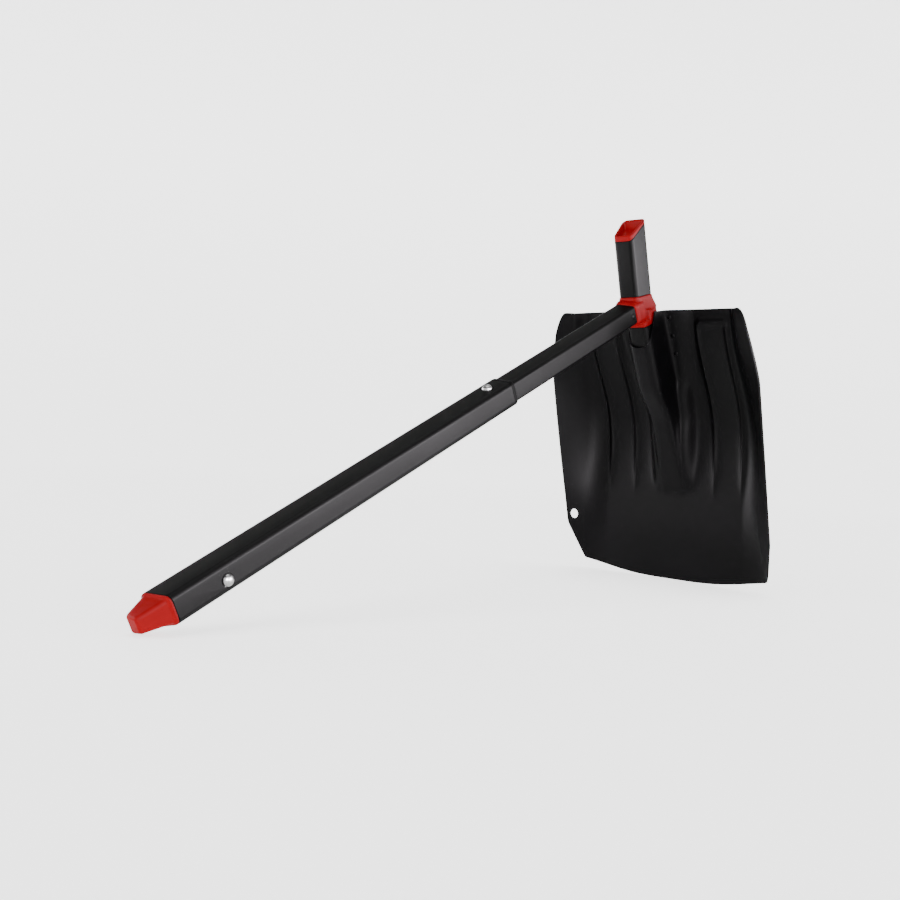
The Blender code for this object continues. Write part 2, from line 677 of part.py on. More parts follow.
def make_outer_tube(shaft, black, plastic, red):
    start = SHAFT_STEP + COLLAR + GAP
    outer = [at_height(tube_outline(0.0), start), shaft_mouth(0.0)]
    inner = [at_height(tube_outline(WALL), start), shaft_mouth(WALL)]
    tube = pipe("outer_shaft_tube", outer, inner, black, shaft)
    top_hole = (side_wall_half(0.0), 0.0, EXTENSION_AT)
    cutter = rod("outer_hole_cutter", BUTTON_HOLE, 8.0, shaft, top_hole, side_normal(1))
    combine(tube, cutter, "DIFFERENCE")
    side_hole = (-SHAFT_BUTTON_DOWN, -DEPTH, SHAFT_BUTTON_AT)
    combine(tube, rod("side_hole_cutter", BUTTON_HOLE, 8.0, shaft, side_hole, (0, 1, 0)), "DIFFERENCE")
    bore = WALL + 0.05
    pipe("shaft_collar",
         [at_height(tube_outline(0.9), SHAFT_STEP), at_height(tube_outline(0.1), SHAFT_STEP + 2.0),
          at_height(tube_outline(0.0), SHAFT_STEP + COLLAR)],
         [at_height(tube_outline(bore), SHAFT_STEP), at_height(tube_outline(bore), SHAFT_STEP + 2.0),
          at_height(tube_outline(bore), SHAFT_STEP + COLLAR)],
         plastic, shaft)
    plug = loft("end_plug", nose_rings(), red, shaft)
    inside = [at_height(tube_outline(WALL + GAP), SHAFT_END - 24.0), shaft_mouth(WALL + GAP, GAP + 0.4)]
    combine(plug, loft("plug_spigot", inside, None, shaft), "UNION")


def make_spring(name, steel, parent, frame, reach, length=34.0, width=8.0):
    """A bent leaf spring: two legs that open from a nose, in the x-z plane of its frame."""
    thick = 0.7
    leg_in = -reach
    path = [(0.0, -7.0), (0.0, 7.0), (0.15 * leg_in, length - 9.0), (0.5 * leg_in, length),
            (0.85 * leg_in, length - 9.0), (leg_in, 0.0)]
    rings = []
    for k, (x, z) in enumerate(path):
        before = Vector(path[max(k - 1, 0)])
        after = Vector(path[min(k + 1, len(path) - 1)])
        run = (after - before).normalized()
        side = Vector((-run.y, run.x)) * thick / 2.0
        half = width / 2.0
        rings.append([(x + side.x, -half, z + side.y), (x + side.x, half, z + side.y),
                      (x - side.x, half, z - side.y), (x - side.x, -half, z - side.y)])
    spring = loft(name, rings, steel, parent)
    spring.matrix_local = frame


def make_button(name, steel, parent, location, along, through, flange=6.2):
    """A dome button with an inner flange; z = 0 is the outer wall's surface."""
    seat = -through - GAP
    profile = [(0.0, BUTTON_PROUD), (2.0, BUTTON_PROUD - 0.3), (3.6, BUTTON_PROUD - 1.0),
               (4.6, BUTTON_PROUD - 2.1), (BUTTON_R, 0.0), (BUTTON_R, seat), (flange, seat),
               (flange, seat - 1.0), (0.0, seat - 1.0)]
    place(turned(name, profile, steel, parent), location, along)


def frame_matrix(location, x_axis, z_axis):
    x = Vector(x_axis)
    z = Vector(z_axis)
    y = z.cross(x)
    turn = Matrix((x, y, z)).transposed().to_4x4()
    return Matrix.Translation(Vector(location) * MM) @ turn


def make_buttons(socket, shaft, steel, spring_steel):
    """Each button with the leaf spring that pushes it out, its leg just under the inner flange."""
    below = GAP + 1.0 + GAP + 0.35        # from the inner wall to the spring's leg
    through = 2.0 * WALL + SLIDE_CLEARANCE
    normal = side_normal(1)
    top = Vector((side_wall_half(0.0), 0.0, EXTENSION_AT))
    make_button("extension_button", steel, shaft, top, normal, through)
    leg = top - normal * (through + below)
    make_spring("extension_spring", spring_steel, shaft, frame_matrix(leg, normal, (0, 0, 1)),
                2.0 * leg.x - 2.0)

    deeper = 0.5                          # clears the rounded corner inside the tube
    place_at = (-SHAFT_BUTTON_DOWN, -DEPTH, SHAFT_BUTTON_AT)
    make_button("shaft_button", steel, shaft, place_at, (0, -1, 0), WALL + deeper, 5.6)
    leg = DEPTH - WALL - deeper - below
    make_spring("shaft_spring", spring_steel, shaft,
                frame_matrix((-SHAFT_BUTTON_DOWN, -leg, SHAFT_BUTTON_AT), (0, -1, 0), (0, 0, -1)), 2.0 * leg,
                width=7.0)

    normal = side_normal(-1)
    outer = SOCKET_FIT + SHEET
    side = Vector((-side_wall_half(HOE_BUTTON_BACK), HOE_BUTTON_BACK, HOE_BUTTON_AT))
    make_button("hoe_button", steel, socket, side + normal * outer, normal, outer + WALL)
    leg = side - normal * (WALL + below)
    make_spring("hoe_spring", spring_steel, socket, frame_matrix(leg, normal, (0, 0, 1)),
                -2.0 * leg.x - 2.0, length=17.5)


def make_frame(name, parent):
    frame = bpy.data.objects.new(name, None)
    bpy.context.collection.objects.link(frame)
    frame.parent = parent
    return frame


def lowest(points, lean):
    """The lowest of some (y, z) points once the frame leans back by an angle."""
    return min(points, key=lambda p: p[0] * math.sin(lean) + p[1] * math.cos(lean))


def lean_angle():
    """Lean that puts the blade's cutting edge and the shaft's nose on one level floor."""
    up = Vector((math.sin(ARM_TILT), math.cos(ARM_TILT)))
    back = Vector((math.cos(ARM_TILT), -math.sin(ARM_TILT)))
    grid = blade_grid()
    normals = grid_normals(grid)
    edge = [p + n * depth for p, n in zip(grid[-1], normals[-1]) for depth in (0.0, SHEET)]
    edge = [up * p.z + back * p.y for p in edge]
    nose = [(-z, x) for ring in nose_rings() for x, y, z in ring]
    lean = 0.4
    for _ in range(6):
        low_edge = lowest(edge, lean)
        low_nose = lowest(nose, lean)
        lean = math.atan2(low_nose[1] - low_edge[1], low_edge[0] - low_nose[0])
    return lean


def stand_up(stance):
    """Lean the whole shovel, and put the middle of its footprint at the origin."""
    stance.rotation_euler = (lean_angle(), 0.0, 0.0)
    bpy.context.view_layer.update()
    solids = [o for o in bpy.data.objects if o.type == "MESH" and not o.hide_render]
    corners = [o.matrix_world @ v.co for o in solids for v in o.data.vertices]
    low = Vector(min(c[i] for c in corners) for i in range(3))
    high = Vector(max(c[i] for c in corners) for i in range(3))
    stance.location = (-(low.x + high.x) / 2.0, -(low.y + high.y) / 2.0, -low.z)


def main():
    clear_scene()
    black = make_material("anodised_black", (0.018, 0.018, 0.02), 0.38, 0.7)
    blade_black = make_material("blade_black", (0.02, 0.019, 0.024), 0.42, 0.6)
    plastic = make_material("black_plastic", (0.02, 0.02, 0.02), 0.55, 0.0)
    red = make_material("red_plastic", (0.6, 0.02, 0.018), 0.45, 0.0)
    steel = make_material("button_steel", (0.6, 0.6, 0.6), 0.3, 1.0)
    spring_steel = make_material("spring_steel", (0.4, 0.4, 0.42), 0.35, 1.0)

    stance = make_frame("stance", None)
    arm = make_frame("arm_frame", stance)
    arm.rotation_euler = (-ARM_TILT, 0.0, 0.0)
    shaft = make_frame("shaft_frame", stance)
    shaft.matrix_local = frame_matrix((0, 0, 0), (0, 0, 1), (0, -1, 0))
    socket = make_frame("socket_frame", stance)
    socket.location = (0.0, SOCKET_BACK * MM, 0.0)

    make_blade(arm, socket, blade_black)
    make_socket_back(socket, blade_black)
    for name, x, z in rivet_places():
        make_rivet(name, blade_black, socket, SHEET + PLATE + GAP, (x, SHOULDER, z), (0, -1, 0))
    make_hub(arm, shaft, socket, red)
    make_upper_arm(arm, black, red)
    make_lower_arm(socket, black, red)
    make_hub_rivets(shaft, black)
    make_inner_tube(shaft, black, plastic)
    make_outer_tube(shaft, black, plastic, red)
    make_buttons(socket, shaft, steel, spring_steel)
    stand_up(stance)


main()
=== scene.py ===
"""The looks of the avalanche shovel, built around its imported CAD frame."""
import json
import math

import bmesh
import bpy
from mathutils import Matrix, Vector

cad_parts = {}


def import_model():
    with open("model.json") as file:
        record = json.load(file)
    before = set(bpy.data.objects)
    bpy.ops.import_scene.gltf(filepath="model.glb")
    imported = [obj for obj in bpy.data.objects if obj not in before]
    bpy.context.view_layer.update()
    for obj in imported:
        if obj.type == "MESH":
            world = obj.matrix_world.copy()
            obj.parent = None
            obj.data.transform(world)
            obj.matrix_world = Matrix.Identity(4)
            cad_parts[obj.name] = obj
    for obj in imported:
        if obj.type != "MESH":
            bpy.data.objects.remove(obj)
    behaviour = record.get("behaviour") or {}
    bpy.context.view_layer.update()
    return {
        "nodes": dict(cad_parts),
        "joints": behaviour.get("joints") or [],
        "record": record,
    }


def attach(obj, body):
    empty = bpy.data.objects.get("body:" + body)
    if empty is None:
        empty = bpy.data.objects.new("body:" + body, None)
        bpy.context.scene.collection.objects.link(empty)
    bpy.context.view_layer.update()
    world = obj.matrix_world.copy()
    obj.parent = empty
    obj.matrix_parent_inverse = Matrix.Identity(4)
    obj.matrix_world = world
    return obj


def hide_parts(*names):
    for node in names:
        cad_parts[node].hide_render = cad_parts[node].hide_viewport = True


MM = 0.001

# Tube profile, as the CAD has it
NARROW = 11.0
WIDE = 14.1
DEPTH = 13.1
CORNER = 5.0
WALL = 1.5
SLIDE = 0.3
GAP = 0.3

# Stations up the arms
ARM_TOP_FRONT = 76.0
ARM_TOP_BACK = 90.8
CAP_LIP_FRONT = 5.5
CAP_LIP_BACK = 2.5
HUB_TOP = 14.0
HUB_FOOT = -18.0
ARM_FOOT = -60.0
GRIP_MOUNT = 45.0         # where the record's grip_front mount sits

# Stations down the shaft
HUB_FRONT = 17.0
HUB_RIVET_AT = 23.0
SHAFT_STEP = 224.0
SHAFT_END = 609.5
SHAFT_END_WIDE = 616.0
OVERLAP = 85.0
COLLAR = 4.0

# Buttons
BUTTON_R = 4.7
BUTTON_HOLE = 5.1
BUTTON_PROUD = 3.4
EXTENSION_AT = 246.5
SHAFT_BUTTON_AT = 564.6
SHAFT_BUTTON_DOWN = 2.0
HOE_BUTTON_AT = -45.0
HOE_BUTTON_BACK = 3.0

# Blade
SHEET = 2.0
BLADE_TOP = -3.0
TOP_SLANT = 0.12
BLADE_FOOT = -290.5
BLADE_BOW = 13.0
EDGE_FLAT = 26.0
BLADE_HALF = 126.0
CORNER_CUT_IN = 21.0
CORNER_CUT_DOWN = 72.0
CHAMFER_TOP = -245.0
PAN_RISE = 12.0
EDGE_DEPTH_TOP = 12.0
EDGE_DEPTH_FOOT = 7.5
FOLD_FOOT = 115.0
SOCKET_FIT = 0.5
SOCKET_END = -82.0
SINK_END = -127.0
BULGE_SINK = 11.5
BULGE_TIP = -204.0
LAND_TURN = -95.0
SHOULDER = 16.5
RIB_INNER = 49.5
RIB_OUTER = 82.0
RIB_TOP = -18.0
RIB_FOOT = -212.0
RIB_HALF = 3.5
RIB_HEIGHT = 3.5
NOTCH_R = 17.0
NOTCH_FOOT = -39.5
NOTCH_BACK = 8.0
ANCHOR_HOLE_HALF = 4.0
ANCHOR_HOLE_STRETCH = 1.45
ANCHOR_HOLE_AT = -236.5
PLATE = 1.5
PLATE_HALF_TOP = 25.5
PLATE_HALF_FOOT = 23.4
PLATE_TOP = -12.0
PLATE_FOOT = -66.0
PLATE_LAND = 10.2
PLATE_SLOPE = 13.6
RIVET_X = 22.0
RIVET_HEIGHTS = (-18.0, -38.0, -58.0)

# Camera, in a frame at the shaft's upper end with the shaft level
CAMERA_AT = (662.21, -948.64, 313.55)
CAMERA_AXIS = (-0.67717, 0.65285, -0.33945)
CAMERA_UP = (-0.05586, 0.41438, 0.90839)
CAMERA_LENS = 45.48

# Upper arm and blade against the shaft, and the lower arm's axis behind the arms' crossing
ARM_TILT = math.radians(10.0)
SOCKET_BACK = 6.9

# Stage, in metres
STAGE_RADIUS = 2.4
STAGE_CURVE = 1.2
STAGE_HEIGHT = 2.3

# Strip lights that only make highlights: name, place in metres, power
STRIPS = (
    ("strip_back", (1.9, 0.9, 0.4), 260.0),
    ("strip_right", (2.0, -0.9, 0.5), 260.0),
    ("strip_left", (-1.9, -0.8, 0.4), 70.0),
)


def lerp(low, high, t):
    return low + (high - low) * t


def clamp(value):
    return max(0.0, min(1.0, value))


def ease(value):
    value = clamp(value)
    return value * value * (3.0 - 2.0 * value)


# ---------------------------------------------------------------- frames

def axes_matrix(location, x_axis, z_axis):
    x = Vector(x_axis).normalized()
    z = Vector(z_axis).normalized()
    turn = Matrix((x, z.cross(x), z)).transposed().to_4x4()
    return Matrix.Translation(location) @ turn


class Frames:
    """The working frames, in metres, from the record's joints and mounts."""

    def __init__(self, record, joints):
        axis = {joint["name"]: Vector(joint["axis"]).normalized() for joint in joints}
        grip = next(m for m in record["mounts"] if m["name"] == "grip_front")
        across = Vector((1.0, 0.0, 0.0))
        level_turn = axes_matrix((0.0, 0.0, 0.0), across, axis["hoe_socket"])
        turn = level_turn @ Matrix.Rotation(-ARM_TILT, 4, "X")
        origin = Vector(grip["pos_m"]) - turn @ Vector((0.0, -DEPTH * MM, GRIP_MOUNT * MM))
        self.level = axes_matrix(origin, across, axis["hoe_socket"])
        self.arm = Matrix.Translation(origin) @ turn
        self.socket = self.level @ Matrix.Translation((0.0, SOCKET_BACK * MM, 0.0))
        down = -axis["shaft_extension"]
        self.shaft = axes_matrix(origin, down.cross(across), down)


# ---------------------------------------------------------------- mesh helpers

def new_object(name, points, faces, matrix):
    """A mesh object from points in millimetres in a working frame, placed in the row frame."""
    mesh = bpy.data.meshes.new(name)
    mesh.from_pydata([matrix @ (Vector(p) * MM) for p in points], [], faces)
    work = bmesh.new()
    work.from_mesh(mesh)
    bmesh.ops.recalc_face_normals(work, faces=work.faces)
    work.to_mesh(mesh)
    work.free()
    obj = bpy.data.objects.new(name, mesh)
    bpy.context.scene.collection.objects.link(obj)
    return obj


def loft(name, rings, matrix):
    """A solid through rings with the same number of points, closed at both ends."""
    count = len(rings[0])
    points = [p for ring in rings for p in ring]
    faces = [tuple(range(count)), tuple(range(len(points) - count, len(points)))]
    for k in range(len(rings) - 1):
        for i in range(count):
            j = (i + 1) % count
            faces.append((k * count + i, k * count + j, (k + 1) * count + j, (k + 1) * count + i))
    return new_object(name, points, faces, matrix)


def pipe(name, rings, matrix):
    """A closed loop of rings: out along the outside and back along the inside."""
    count = len(rings[0])
    points = [p for ring in rings for p in ring]
    faces = []
    for k in range(len(rings)):
        n = (k + 1) % len(rings)
        for i in range(count):
            j = (i + 1) % count
            faces.append((k * count + i, k * count + j, n * count + j, n * count + i))
    return new_object(name, points, faces, matrix)


def turned(name, profile, matrix, steps=48):
    """A solid of revolution about z, from (radius, height) points; it starts and ends on the axis."""
    ring_points = profile[1:-1]
    points = [(0.0, 0.0, profile[0][1])]
    for radius, height in ring_points:
        for i in range(steps):
            angle = 2.0 * math.pi * i / steps
            points.append((radius * math.cos(angle), radius * math.sin(angle), height))
    points.append((0.0, 0.0, profile[-1][1]))
    last = len(points) - 1
    faces = []
    for i in range(steps):
        j = (i + 1) % steps
        faces.append((0, 1 + j, 1 + i))
        faces.append((last, last - steps + i, last - steps + j))
        for k in range(len(ring_points) - 1):
            a = 1 + k * steps
            faces.append((a + i, a + j, a + steps + j, a + steps + i))
    return new_object(name, points, faces, matrix)


def at_place(matrix, location, along):
    """A frame set down in another one, its z along a direction."""
    turn = Vector(along).to_track_quat("Z", "Y").to_matrix().to_4x4()
    return matrix @ Matrix.Translation(Vector(location) * MM) @ turn


def bar_profile(radius, length):
    half = length / 2.0
    return [(0.0, -half), (radius, -half), (radius, half), (0.0, half)]


def rod(radius, length, matrix, location, along):
    return turned("cutter", bar_profile(radius, length), at_place(matrix, location, along))


def apply_modifiers(obj):
    """Replace the object's mesh by its evaluated one."""
    graph = bpy.context.evaluated_depsgraph_get()
    mesh = bpy.data.meshes.new_from_object(obj.evaluated_get(graph))
    obj.modifiers.clear()
    obj.data = mesh
    return obj


def carve(obj, cutters):
    """Cut other solids out of an object and remove them."""
    for cutter in cutters:
        step = obj.modifiers.new("carve", "BOOLEAN")
        step.operation = "DIFFERENCE"
        step.object = cutter
        step.solver = "EXACT"
    apply_modifiers(obj)
    for cutter in cutters:
        bpy.data.objects.remove(cutter, do_unlink=True)


def soften(obj, width):
    """Round the sharp edges."""
    bevel = obj.modifiers.new("bevel", "BEVEL")
    bevel.width = width * MM
    bevel.segments = 3
    bevel.limit_method = "ANGLE"
    bevel.angle_limit = math.radians(32.0)
    bevel.use_clamp_overlap = True
    bevel.harden_normals = False
    apply_modifiers(obj)


def mould(obj, voxel, passes):
    """Remesh and smooth a solid, so that it has the fillets of a moulding."""
    remesh = obj.modifiers.new("remesh", "REMESH")
    remesh.mode = "VOXEL"
    remesh.voxel_size = voxel * MM
    smooth = obj.modifiers.new("smooth", "SMOOTH")
    smooth.factor = 0.5
    smooth.iterations = passes
    return apply_modifiers(obj)


def finish_piece(obj, body, node, material, sharp=38.0):
    """Shade a piece, give it its material and let it stand for its CAD node."""
    obj.name = node + "_skin"
    mesh = obj.data
    mesh.shade_smooth()
    mesh.set_sharp_from_angle(angle=math.radians(sharp))
    mesh.materials.clear()
    mesh.materials.append(material)
    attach(obj, body)
    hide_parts(node)


# ---------------------------------------------------------------- tube profile

def tube_outline(shrink=0.0, steps=14, narrow=NARROW, wide=WIDE, depth=DEPTH, corner=CORNER):
    """The rounded trapezoid in x and y, narrow side at -y."""
    narrow -= shrink
    wide -= shrink
    depth -= shrink
    corner = max(corner - shrink, 1.0)
    corners = [Vector(c) for c in ((-narrow, -depth), (narrow, -depth), (wide, depth), (-wide, depth))]
    outline = []
    for i, here in enumerate(corners):
        before = (corners[i - 1] - here).normalized()
        after = (corners[(i + 1) % 4] - here).normalized()
        half = before.angle(after) / 2.0
        centre = here + (before + after).normalized() * corner / math.sin(half)
        start = here + before * corner / math.tan(half) - centre
        end = here + after * corner / math.tan(half) - centre
        first = math.atan2(start.y, start.x)
        sweep = (math.atan2(end.y, end.x) - first + math.pi) % (2.0 * math.pi) - math.pi
        for k in range(steps):
            angle = first + sweep * k / (steps - 1)
            outline.append((centre.x + corner * math.cos(angle), centre.y + corner * math.sin(angle)))
    return outline


def side_wall_half(y):
    return lerp(NARROW, WIDE, (y + DEPTH) / (2.0 * DEPTH))


def side_normal(side):
    normal = Vector((2.0 * DEPTH, NARROW - WIDE, 0.0)).normalized()
    return Vector((side * normal.x, normal.y, 0.0))


def at_height(outline, z):
    return [(x, y, z) for x, y in outline]


def slanted(outline, narrow_z, wide_z, shift=0.0):
    """The outline on a plane that slants from the narrow side to the wide side."""
    slope = (wide_z - narrow_z) / (2.0 * DEPTH)
    middle = (wide_z + narrow_z) / 2.0
    return [(x, y, middle + slope * y + shift) for x, y in outline]


def arm_mouth(shrink, drop=0.0):
    return slanted(tube_outline(shrink), ARM_TOP_FRONT, ARM_TOP_BACK, -drop)


def arm_seat(shrink, rise=0.0):
    return slanted(tube_outline(shrink), ARM_TOP_FRONT - CAP_LIP_FRONT, ARM_TOP_BACK - CAP_LIP_BACK, rise)


def shaft_mouth(shrink, rise=0.0):
    return slanted(tube_outline(shrink), SHAFT_END, SHAFT_END_WIDE, rise)


def tube_rings(first, last, shrink=0.0, wall=WALL):
    """Rings of a tube between two mouths, each a function of (shrink, shift along z)."""
    edge = 0.25
    return [first(shrink + edge, 0.0), first(shrink, edge), last(shrink, -edge), last(shrink + edge, 0.0),
            last(shrink + wall, 0.0), first(shrink + wall, 0.0)]


def square_mouth(z):
    return lambda shrink, shift: at_height(tube_outline(shrink), z + shift)


# ---------------------------------------------------------------- blade surface

def pan_floor(a):
    reach = 120.0 if a > -135.0 else 138.0
    hollow = math.cos(math.pi / 2.0 * min(1.0, abs(a + 135.0) / reach)) ** 2
    return 36.0 + 0.05 * a + 24.5 * hollow


def edge_half_width(a):
    if a < CHAMFER_TOP:
        return lerp(BLADE_HALF, FOLD_FOOT, (CHAMFER_TOP - a) / (CHAMFER_TOP - BLADE_FOOT))
    down = clamp((BLADE_TOP - a) / CORNER_CUT_DOWN)
    return BLADE_HALF - CORNER_CUT_IN * (1.0 - math.sqrt(down))


def edge_depth(a):
    if a < CHAMFER_TOP:
        t = (CHAMFER_TOP - a) / (CHAMFER_TOP - BLADE_FOOT)
        return lerp(EDGE_DEPTH_FOOT, pan_floor(BLADE_FOOT) - 3.5, t)
    corner = clamp(1.0 + a / 25.0)
    return lerp(EDGE_DEPTH_TOP, EDGE_DEPTH_FOOT, a / CHAMFER_TOP) + 5.0 * corner


def fold_half_width(a):
    return lerp(96.0, FOLD_FOOT - 1.0, (BLADE_TOP - a) / (BLADE_TOP - BLADE_FOOT))


def rib_rise(x, a):
    x = abs(x)
    fade = ease((RIB_TOP + 4.0 - a) / 8.0) * ease((a - RIB_FOOT) / 50.0)
    best = 0.0
    for centre in (RIB_INNER, RIB_OUTER):
        best = max(best, fade * ease(1.0 - abs(x - centre) / RIB_HALF))
    if RIB_INNER < x < RIB_OUTER:
        best = max(best, ease(1.0 - abs(a - RIB_TOP) / 6.0))
    return RIB_HEIGHT * best


def socket_plane(y, a):
    """Depth, at height a, of the plane that lies at y in the socket frame."""
    return (y + SOCKET_BACK - a * math.sin(ARM_TILT)) / math.cos(ARM_TILT)


def bulge_crest(a):
    """Depth of the bulge's front: along the socket, then sinking into the pan."""
    crest = socket_plane(-DEPTH - SOCKET_FIT - SHEET, a)
    crest += BULGE_SINK * ease((SOCKET_END - a) / (SOCKET_END - SINK_END))
    return min(crest, pan_floor(a))


def land_edges(a):
    """Half width of the land beside the socket, and of the foot of its slope on the pan."""
    upper = clamp(a / LAND_TURN) ** 1.6
    lower = clamp((LAND_TURN - a) / 130.0)
    land = lerp(28.0, 22.0, upper) - 6.0 * lower
    return land, lerp(45.4, 33.0, upper) - 6.0 * lower


def socket_profile(a):
    """Half profile of the socket's bulge and the land beside it, from the middle outwards."""
    floor = pan_floor(a)
    crest = bulge_crest(a)
    taper = clamp((SOCKET_END - a) / (SOCKET_END - BULGE_TIP))
    front = lerp(NARROW + SOCKET_FIT + SHEET, 12.5, taper)
    base = lerp(WIDE + SOCKET_FIT + SHEET + 0.4, 14.5, taper)
    flank = (SHOULDER + DEPTH + SOCKET_FIT + SHEET) / math.cos(ARM_TILT) * (1.0 - taper) ** 1.8
    shoulder = min(crest + max(flank, 0.6), max(floor, crest))
    corner = lerp(CORNER + SOCKET_FIT + SHEET, 3.0, taper)
    corner_deep = min(corner, (shoulder - crest) * 0.45)
    land, pan_start = land_edges(a)
    points = [(0.0, crest), (0.5 * (front - corner), crest)]
    side = lerp(front, base, 0.15)
    for k in range(4):
        angle = math.pi / 2.0 * k / 3.0
        points.append((side - corner + corner * math.sin(angle),
                       crest + corner_deep * (1.0 - math.cos(angle))))
    foot = shoulder - min(3.0, 0.3 * (shoulder - crest))
    points.append((lerp(front, base, 0.55), lerp(crest + corner_deep, foot, 0.5)))
    points.append((base, foot))
    points.append((lerp(base, land, 0.2), shoulder))
    points.append((lerp(base, land, 0.86), shoulder))
    points.append((lerp(land, pan_start, 0.3), lerp(shoulder, floor, 0.2)))
    points.append((lerp(land, pan_start, 0.7), lerp(shoulder, floor, 0.8)))
    points.append((pan_start, floor))
    return points


def blade_profile(a):
    """Half profile of the blade, (x, depth) from the middle to the flange's free edge."""
    floor = pan_floor(a)
    edge = edge_half_width(a)
    fold = min(fold_half_width(a), edge - 4.0)
    rise = lerp(PAN_RISE, 2.5, ease((-200.0 - a) / 90.0))
    points = socket_profile(a)
    ribs = [rib + side * RIB_HALF for rib in (RIB_INNER, RIB_OUTER) for side in (-1.3, -0.5, 0, 0.5, 1.3)]
    ribs.insert(5, (RIB_INNER + RIB_OUTER) / 2.0)
    for x in ribs:
        points.append((x, floor - rib_rise(x, a)))
    points.append((lerp(RIB_OUTER + RIB_HALF, fold, 0.4), floor - 0.2 * rise))
    points.append((lerp(RIB_OUTER + RIB_HALF, fold, 0.75), floor - 0.6 * rise))
    points.append((fold, floor - rise - 0.5))
    depth = edge_depth(a)
    points.append((lerp(fold, edge, 0.12), lerp(floor - rise - 0.5, depth, 0.15)))
    points.append((lerp(fold, edge, 0.6), lerp(floor - rise - 0.5, depth, 0.6)))
    points.append((edge, depth))
    return points


def bow(x):
    out = clamp((abs(x) - EDGE_FLAT) / (FOLD_FOOT - EDGE_FLAT))
    return BLADE_BOW * (1.0 - out ** 1.8)


def blade_rows():
    rows = [BLADE_TOP, -5.0, -8.0]
    rows += [-11.0 - 3.0 * k for k in range(8)]
    rows += [-36.0 - 5.0 * k for k in range(41)]
    rows += [-240.0, CHAMFER_TOP - 0.5, -250.0, -258.0, -266.0, -275.0, -283.0, BLADE_FOOT]
    return rows


def blade_point(x, depth, a):
    """The point of a row at x, with the top edge's slant and the cutting edge's bow."""
    down = clamp((a - BLADE_TOP) / (BLADE_FOOT - BLADE_TOP))
    slant = TOP_SLANT * max(0.0, depth) * (1.0 - down) ** 3
    if abs(x) < land_edges(a)[0]:
        depth += slant * math.tan(ARM_TILT)     # keeps the socket's walls in their planes
    return Vector((x, depth, a - slant - bow(x) * down ** 3))


def blade_grid():
    grid = []
    for a in blade_rows():
        half = blade_profile(a)
        row = [(-x, depth) for x, depth in reversed(half[1:])] + half
        grid.append([blade_point(x, depth, a) for x, depth in row])
    return grid


def notch_cutter(socket):
    rings = []
    for y, foot in ((-40.0, NOTCH_FOOT), (-DEPTH, NOTCH_FOOT), (NOTCH_BACK, BLADE_TOP - 5.0)):
        ring = [(NOTCH_R, y, 30.0)]
        for k in range(41):
            angle = -math.pi * k / 40.0
            ring.append((NOTCH_R * math.cos(angle), y, foot + NOTCH_R + NOTCH_R * math.sin(angle)))
        ring.append((-NOTCH_R, y, 30.0))
        rings.append(ring)
    return loft("notch_cutter", rings, socket)


def make_blade(arm, socket, material):
    grid = blade_grid()
    columns = len(grid[0])
    points = [p for row in grid for p in row]
    faces = []
    for i in range(len(grid) - 1):
        for j in range(columns - 1):
            a = i * columns + j
            faces.append((a, a + columns, a + columns + 1, a + 1))
    blade = new_object("blade_skin", points, faces, arm)
    front = arm.to_3x3() @ Vector((0.0, -1.0, 0.0))
    flip = sum(1 if p.normal.dot(front) > 0 else -1 for p in blade.data.polygons) < 0
    if flip:
        blade.data.flip_normals()
    smooth = blade.modifiers.new("subdivide", "SUBSURF")
    smooth.levels = 1
    smooth.render_levels = 1
    solid = blade.modifiers.new("thickness", "SOLIDIFY")
    solid.thickness = SHEET * MM
    solid.offset = -1.0
    solid.use_even_offset = True
    apply_modifiers(blade)
    profile = blade_profile(ANCHOR_HOLE_AT)
    (x0, b0), (x1, b1) = profile[-3], profile[-1]
    x = (x0 + x1) / 2.0
    place = at_place(arm, (-x, (b0 + b1) / 2.0, ANCHOR_HOLE_AT - bow(x) * 0.5), (b1 - b0, x1 - x0, 0.0))
    hole = place @ Matrix.Diagonal((1.0, ANCHOR_HOLE_STRETCH, 1.0, 1.0))
    button_at = (-side_wall_half(HOE_BUTTON_BACK) - SHEET, HOE_BUTTON_BACK, HOE_BUTTON_AT)
    cutters = [notch_cutter(socket), turned("cutter", bar_profile(ANCHOR_HOLE_HALF, 20.0), hole),
               rod(BUTTON_HOLE, 10.0, socket, button_at, side_normal(-1))]
    carve(blade, cutters)
    finish_piece(blade, "blade", "blade", material)


# ---------------------------------------------------------------- other pieces

def make_socket_plate(socket, material):
    land = DEPTH + SOCKET_FIT
    flange = SHOULDER + SHEET + GAP
    rings = []
    for z, half in ((PLATE_FOOT, PLATE_HALF_FOOT), (PLATE_TOP, PLATE_HALF_TOP)):
        left = [(-half, flange), (-PLATE_SLOPE, flange), (-PLATE_LAND, land)]
        front = left + [(-x, y) for x, y in reversed(left)]
        back = [(x, y + PLATE) for x, y in reversed(front)]
        rings.append(at_height(front + back, z))
    plate = loft("plate", rings, socket)
    soften(plate, 0.45)
    finish_piece(plate, "blade", "socket_back", material)


